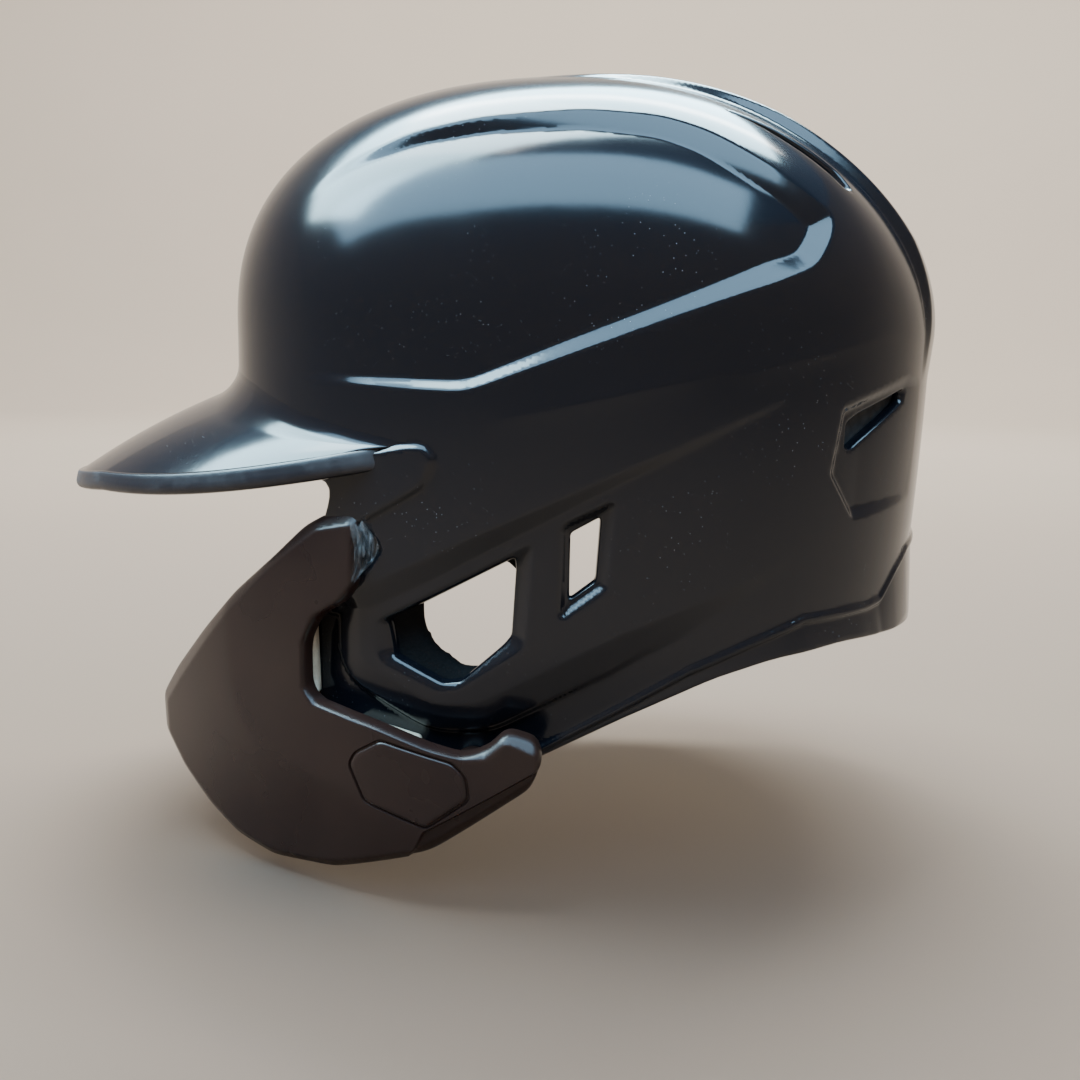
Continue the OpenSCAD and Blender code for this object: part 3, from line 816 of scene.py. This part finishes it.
# ---------------------------------------------------------------- materials
class Nodes:
    """A material's node tree, with short calls for the nodes used here."""

    def __init__(self, name):
        self.material = bpy.data.materials.new(name)
        self.material.use_nodes = True
        self.tree = self.material.node_tree
        self.shader = self.tree.nodes["Principled BSDF"]
        coordinates = self.tree.nodes.new("ShaderNodeTexCoord")
        self.place = coordinates.outputs["Object"]

    def link(self, output, node_input):
        self.tree.links.new(output, node_input)

    def stretched(self, scale, turn=(0, 0, 0)):
        node = self.tree.nodes.new("ShaderNodeMapping")
        node.inputs["Scale"].default_value = scale
        node.inputs["Rotation"].default_value = turn
        self.link(self.place, node.inputs["Vector"])
        return node.outputs["Vector"]

    def noise(self, scale, detail=2.0, rough=0.5, place=None):
        node = self.tree.nodes.new("ShaderNodeTexNoise")
        node.inputs["Scale"].default_value = scale
        node.inputs["Detail"].default_value = detail
        node.inputs["Roughness"].default_value = rough
        self.link(place or self.place, node.inputs["Vector"])
        return node.outputs["Fac"]

    def cells(self, scale):
        node = self.tree.nodes.new("ShaderNodeTexVoronoi")
        node.inputs["Scale"].default_value = scale
        self.link(self.place, node.inputs["Vector"])
        return node.outputs["Distance"]

    def bands(self, scale, direction):
        node = self.tree.nodes.new("ShaderNodeTexWave")
        node.bands_direction = direction
        node.inputs["Scale"].default_value = scale
        self.link(self.place, node.inputs["Vector"])
        return node.outputs["Fac"]

    def ramp(self, value, low, high, start=0.0, end=1.0):
        node = self.tree.nodes.new("ShaderNodeMapRange")
        node.inputs["From Min"].default_value = low
        node.inputs["From Max"].default_value = high
        node.inputs["To Min"].default_value = start
        node.inputs["To Max"].default_value = end
        self.link(value, node.inputs["Value"])
        return node.outputs["Result"]

    def math(self, operation, a, b):
        node = self.tree.nodes.new("ShaderNodeMath")
        node.operation = operation
        for value, socket in ((a, node.inputs[0]), (b, node.inputs[1])):
            if isinstance(value, (int, float)):
                socket.default_value = value
            else:
                self.link(value, socket)
        return node.outputs["Value"]

    def mix(self, factor, first, second):
        node = self.tree.nodes.new("ShaderNodeMix")
        node.data_type = "RGBA"
        self.link(factor, node.inputs["Factor"])
        for name, value in (("A", first), ("B", second)):
            socket = [s for s in node.inputs if s.name == name and s.type == "RGBA"][0]
            if isinstance(value, tuple):
                socket.default_value = (*value, 1)
            else:
                self.link(value, socket)
        return [s for s in node.outputs if s.type == "RGBA"][0]

    def bump(self, height, strength, distance):
        node = self.tree.nodes.new("ShaderNodeBump")
        node.inputs["Strength"].default_value = strength
        node.inputs["Distance"].default_value = distance
        self.link(height, node.inputs["Height"])
        self.link(node.outputs["Normal"], self.shader.inputs["Normal"])

    def set(self, name, value):
        socket = self.shader.inputs[name]
        if isinstance(value, tuple):
            socket.default_value = (*value, 1)
        elif isinstance(value, (int, float)):
            socket.default_value = value
        else:
            self.link(value, socket)


def gloss_shell():
    n = Nodes("gloss_shell")
    haze = n.noise(9, 4, 0.6)
    dust = n.ramp(n.cells(620), 0.1, 0.05)
    patches = n.ramp(n.noise(22, 3), 0.5, 0.68)
    dust = n.math("MULTIPLY", dust, patches)
    hairline = n.ramp(n.noise(1, 6, 0.7, n.stretched((30, 400, 900), (0.5, 0.1, 0.3))), 0.70, 0.78)
    worn = n.math("MULTIPLY", hairline, n.ramp(n.noise(14, 2), 0.52, 0.7))
    marks = n.math("MAXIMUM", dust, n.math("MULTIPLY", worn, 0.5))
    n.set("Base Color", n.mix(marks, (0.0042, 0.0048, 0.0075), (0.26, 0.26, 0.27)))
    n.set("Roughness", n.math("ADD", n.ramp(haze, 0.3, 0.75, 0.1, 0.2), n.math("MULTIPLY", marks, 0.3)))
    n.set("IOR", 1.52)
    n.bump(n.noise(160, 2), 0.03, 0.0006)
    return n.material


def bead_foam():
    n = Nodes("bead_foam")
    beads = n.cells(330)
    n.set("Base Color", n.mix(n.ramp(beads, 0.2, 0.8), (0.03, 0.031, 0.034), (0.014, 0.0145, 0.016)))
    n.set("Roughness", 0.75)
    n.bump(n.ramp(beads, 0.75, 0.1), 0.5, 0.0005)
    return n.material


def pad_cloth():
    n = Nodes("pad_cloth")
    weave = n.math("MULTIPLY", n.bands(900, "X"), n.bands(900, "Z"))
    wear = n.ramp(n.noise(120, 3), 0.3, 0.7)
    n.set("Base Color", n.mix(wear, (0.018, 0.019, 0.023), (0.035, 0.036, 0.042)))
    n.set("Roughness", 0.85)
    n.set("Sheen Weight", 0.25)
    n.bump(weave, 0.35, 0.0003)
    return n.material


def ear_foam():
    n = Nodes("ear_foam")
    n.set("Base Color", (0.0035, 0.0035, 0.004))
    n.set("Roughness", 0.9)
    n.set("Specular IOR Level", 0.2)
    n.bump(n.cells(1100), 0.5, 0.0004)
    return n.material


def tan_foam():
    n = Nodes("tan_foam")
    n.set("Base Color", n.mix(n.noise(400, 4), (0.5, 0.4, 0.28), (0.72, 0.62, 0.48)))
    n.set("Roughness", 0.8)
    n.bump(n.cells(1500), 0.5, 0.0003)
    return n.material


def clear_tape():
    n = Nodes("clear_tape")
    creases = n.noise(1, 4, 0.6, n.stretched((500, 500, 90)))
    n.set("Base Color", (0.8, 0.83, 0.85))
    n.set("Roughness", 0.18)
    n.set("Transmission Weight", 0.85)
    n.set("Alpha", n.ramp(creases, 0.45, 0.62, 0.12, 0.85))
    n.bump(n.noise(350, 4), 0.4, 0.0006)
    return n.material


def steel(name, colour, roughness):
    n = Nodes(name)
    n.set("Base Color", n.mix(n.noise(600, 3), colour, tuple(0.7 * c for c in colour)))
    n.set("Metallic", 1.0)
    n.set("Roughness", roughness)
    return n.material


def satin_edge():
    n = Nodes("satin_edge")
    haze = n.noise(60, 5, 0.6)
    n.set("Base Color", n.mix(n.ramp(haze, 0.45, 0.8), (0.012, 0.011, 0.015), (0.05, 0.047, 0.052)))
    n.set("Roughness", n.ramp(haze, 0.3, 0.7, 0.28, 0.5))
    n.bump(n.noise(700, 3), 0.12, 0.0003)
    return n.material


def satin_guard():
    n = Nodes("satin_guard")
    haze = n.noise(16, 4, 0.55)
    dust = n.ramp(n.cells(700), 0.05, 0.02)
    dust = n.math("MULTIPLY", dust, n.ramp(n.noise(40, 2), 0.5, 0.7))
    # The plum-brown tone is partly the guard's own dark colour and partly painted reflection of the warm
    # room; the haze noise varies it at random.
    tone = n.mix(n.ramp(haze, 0.3, 0.75), (0.015, 0.0065, 0.006), (0.028, 0.013, 0.009))
    n.set("Base Color", n.mix(n.math("MULTIPLY", dust, 0.5), tone, (0.2, 0.19, 0.18)))
    n.set("Roughness", n.ramp(haze, 0.3, 0.75, 0.24, 0.34))
    n.set("Specular IOR Level", 0.36)
    n.bump(n.noise(1500, 2), 0.08, 0.0002)
    return n.material


def pale_floor():
    n = Nodes("pale_floor")
    n.set("Base Color", n.mix(n.noise(3, 3), (0.66, 0.59, 0.5), (0.7, 0.62, 0.53)))
    n.set("Roughness", 0.55)
    return n.material


def see_from_above(material):
    """The floor is clear from below, so that the underside can be looked at."""
    tree = material.node_tree
    sides = tree.nodes.new("ShaderNodeNewGeometry")
    clear = tree.nodes.new("ShaderNodeBsdfTransparent")
    mix = tree.nodes.new("ShaderNodeMixShader")
    output = tree.nodes["Material Output"]
    tree.links.new(sides.outputs["Backfacing"], mix.inputs["Fac"])
    tree.links.new(tree.nodes["Principled BSDF"].outputs["BSDF"], mix.inputs[1])
    tree.links.new(clear.outputs["BSDF"], mix.inputs[2])
    tree.links.new(mix.outputs["Shader"], output.inputs["Surface"])
    return material


# ---------------------------------------------------------------- scene
def finish_piece(piece, slot, nodes, *materials):
    """Gives a piece its materials, hangs it from the root body, and hides the CAD nodes that it replaces.
    The slot is not used.
    """
    for material in materials:
        piece.data.materials.append(material)
    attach(piece, "root")
    if nodes:
        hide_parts(*nodes)


def make_stage():
    """A round pale floor that curves up into a wall all the way round."""
    low = cad_box[0][2] - 0.002
    reach, bend, spokes = 2.6, 1.4, 96
    profile = [(reach / 4, low), (reach, low)]
    profile += [(reach + bend * math.sin(t), low + bend * (1 - math.cos(t)))
                for t in np.linspace(0.05, math.pi / 2, 24)]
    profile.append((reach + bend, low + 3.5))
    turns = np.arange(spokes) * 2 * math.pi / spokes
    points = [(r * math.cos(a), r * math.sin(a), z) for r, z in profile for a in turns]
    faces = grid_faces(len(profile), spokes, closed=True).tolist()
    points.append((0, 0, low))
    faces += [(len(points) - 1, i, (i + 1) % spokes) for i in range(spokes)]
    floor = mesh_object("floor", np.array(points) / MM, faces)
    floor.data.materials.append(see_from_above(pale_floor()))
    return floor


def area_light(name, place, target, size, power, colour, spares=None):
    data = bpy.data.lights.new(name, "AREA")
    data.shape = "RECTANGLE"
    data.size, data.size_y = size
    data.energy = power
    data.color = colour
    light = bpy.data.objects.new(name, data)
    light.location = place
    light.rotation_euler = (Vector(target) - Vector(place)).to_track_quat("-Z", "Y").to_euler()
    if spares:
        light.light_linking.receiver_collection = spares
    bpy.context.scene.collection.objects.link(light)


def make_lights(floor):
    """A window and a patch of sky overhead, which pass the floor by, and soft light on the room."""
    spares = bpy.data.collections.new("window_spares")
    spares.objects.link(floor)
    spares.collection_objects[0].light_linking.link_state = "EXCLUDE"
    world = bpy.data.worlds.new("room")
    world.use_nodes = True
    bpy.context.scene.world = world
    world.node_tree.nodes["Background"].inputs["Color"].default_value = (0.52, 0.7, 1.0, 1)
    world.node_tree.nodes["Background"].inputs["Strength"].default_value = 0.3
    area_light("window", (-0.3, -0.75, 1.6), (-0.1, -0.65, 0), (3.7, 1.3), 435, (0.55, 0.85, 1.0), spares)
    area_light("sky", (0.75, -0.5, 1.3), (0, -0.5, 0), (3.2, 0.85), 80, (0.42, 0.72, 1.0), spares)
    area_light("soft", (-0.5, -0.6, 2.4), (0, 0, -0.1), (1.5, 1.5), 42, (1.0, 0.97, 0.93))
    area_light("backdrop", (-1.4, 0.2, 2.3), (-3.2, 0.2, 0.2), (2.5, 0.8), 120, (1.0, 0.95, 0.88))


CAMERA_AZIMUTH, CAMERA_ELEVATION, CAMERA_ROLL = 92, 10, 1.0
CAMERA_DISTANCE = 0.405
CAMERA_TARGET = (0, -0.0136, -0.0564)
LENS = 35.3


def make_camera():
    data = bpy.data.cameras.new("camera")
    data.lens = LENS
    data.sensor_width = 36
    data.clip_start = 0.02
    camera = bpy.data.objects.new("camera", data)
    azimuth, elevation = math.radians(CAMERA_AZIMUTH), math.radians(CAMERA_ELEVATION)
    back = Vector((math.sin(azimuth) * math.cos(elevation), -math.cos(azimuth) * math.cos(elevation),
                   math.sin(elevation)))
    camera.location = Vector(CAMERA_TARGET) + back * CAMERA_DISTANCE
    turn = back.to_track_quat("Z", "Y").to_matrix().to_4x4()
    camera.matrix_world = (Matrix.Translation(camera.location) @ turn
                           @ Matrix.Rotation(math.radians(CAMERA_ROLL), 4, "Z"))
    bpy.context.scene.collection.objects.link(camera)
    bpy.context.scene.camera = camera


make_camera()
make_lights(make_stage())
shell_material, edge_material, guard_material = gloss_shell(), satin_edge(), satin_guard()
finish_piece(make_shell(), "shell", ["outer_shell"], shell_material)
finish_piece(make_brim(), "shell", [], shell_material, edge_material)
for seat in make_seats():
    finish_piece(seat, "shell", [], shell_material)
finish_piece(make_guard(), "guard", ["face_guard"], guard_material)
for boss in make_bosses():
    finish_piece(boss, "guard", [], guard_material)
finish_piece(make_badge(), "badge", ["guard_badge"], guard_material)
foam_material = tan_foam()
finish_piece(make_foam_tape("foam_tape_front", [(-80, -66), (-84, -66), (-84, -92), (-79, -92)]),
             "foam_tape", ["guard_foam_front"], foam_material)
finish_piece(make_foam_tape("foam_tape_lower", [(-66, -98), (-46, -103), (-46, -107), (-66, -103)]),
             "foam_tape", ["guard_foam_lower"], foam_material)
finish_piece(make_clear_tape(), "clear_tape", ["guard_tape"], clear_tape())

liner_material = bead_foam()
LINERS = {"liner_front": (-128, -52, 44, -18), "liner_left": (-46, 38, 50, -38),
          "liner_right": (142, 226, 50, -38), "liner_back": (44, 136, 50, -70)}
for name, place in LINERS.items():
    finish_piece(make_liner("foam_" + name, patch(*place)), "liner", [name], liner_material)
finish_piece(make_liner("foam_liner_crown", cap(60)), "liner", ["liner_crown"], liner_material)

cloth_material = pad_cloth()
PADS = {"brow_pad": ((-124, -56, 16, -18), (-107, -90, -73)), "nape_pad": ((52, 128, -20, -70), (78, 102)),
        "side_pad_left": ((-24, 30, 24, -20), (3,)), "side_pad_right": ((150, 204, 24, -20), (177,)),
        "temple_pad_left": ((-50, -30, 20, -30), ()), "temple_pad_right": ((210, 230, 20, -30), ())}
for name, (place, channels) in PADS.items():
    pad = make_pad("cloth_" + name, patch(*place), border_seam(*place, channels=channels))
    finish_piece(pad, "pads", [name], cloth_material)
crown = make_pad("cloth_crown_pad", cap(66), lambda phi, level: np.abs(level - 70.5) * 1.4)
finish_piece(crown, "pads", ["crown_pad"], cloth_material)
finish_piece(make_ear_pad(), "ear_foam", ["ear_pad"], ear_foam())

METALS = {"guard_screws": steel("screw_steel", (0.35, 0.35, 0.36), 0.3),
          "guard_washers": steel("washer_steel", (0.55, 0.55, 0.56), 0.25),
          "guard_inserts": steel("insert_brass", (0.7, 0.5, 0.2), 0.35)}
for name, metal in METALS.items():
    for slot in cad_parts[name].material_slots:
        slot.material = metal
